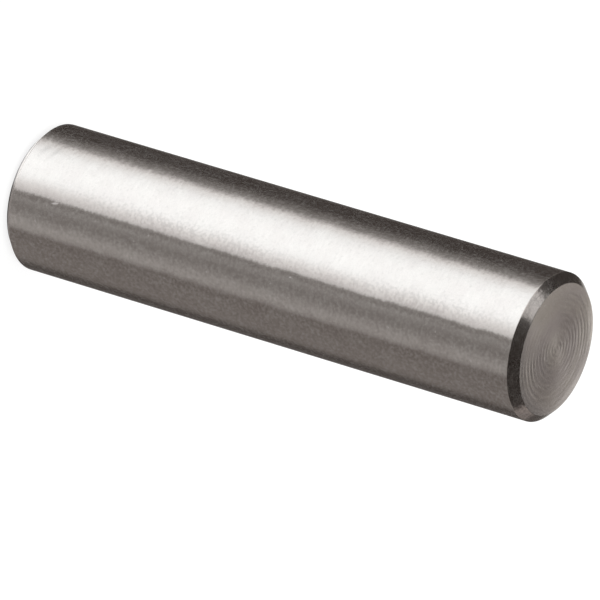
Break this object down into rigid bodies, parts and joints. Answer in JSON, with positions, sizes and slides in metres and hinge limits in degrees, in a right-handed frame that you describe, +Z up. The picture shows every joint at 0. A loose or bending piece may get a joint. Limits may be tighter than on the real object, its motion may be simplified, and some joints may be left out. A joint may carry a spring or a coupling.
{
  "type": "dowel pin",
  "caption": "Plain straight ground steel dowel pin, with flat faced ends and a small lead chamfer at each end, for locating or joining parts through matching round holes.",
  "frame": {"origin": "centre of the lower flat end, on which the pin stands", "axes": "+Z up the pin's axis, from the lower flat end to the upper one; the pin is round, so +X and +Y are any two directions across it"},
  "size_m": [0.0064, 0.0064, 0.0254],
  "materials": {
    "ground_steel": "bare dry steel: shank centreless ground, with fine marks running round it; chamfers and flat ends turned, with fine concentric tool rings on the ends"
  },
  "bodies": {
    "root": {"dowel_pin": "ground_steel"}
  },
  "joints": []
}
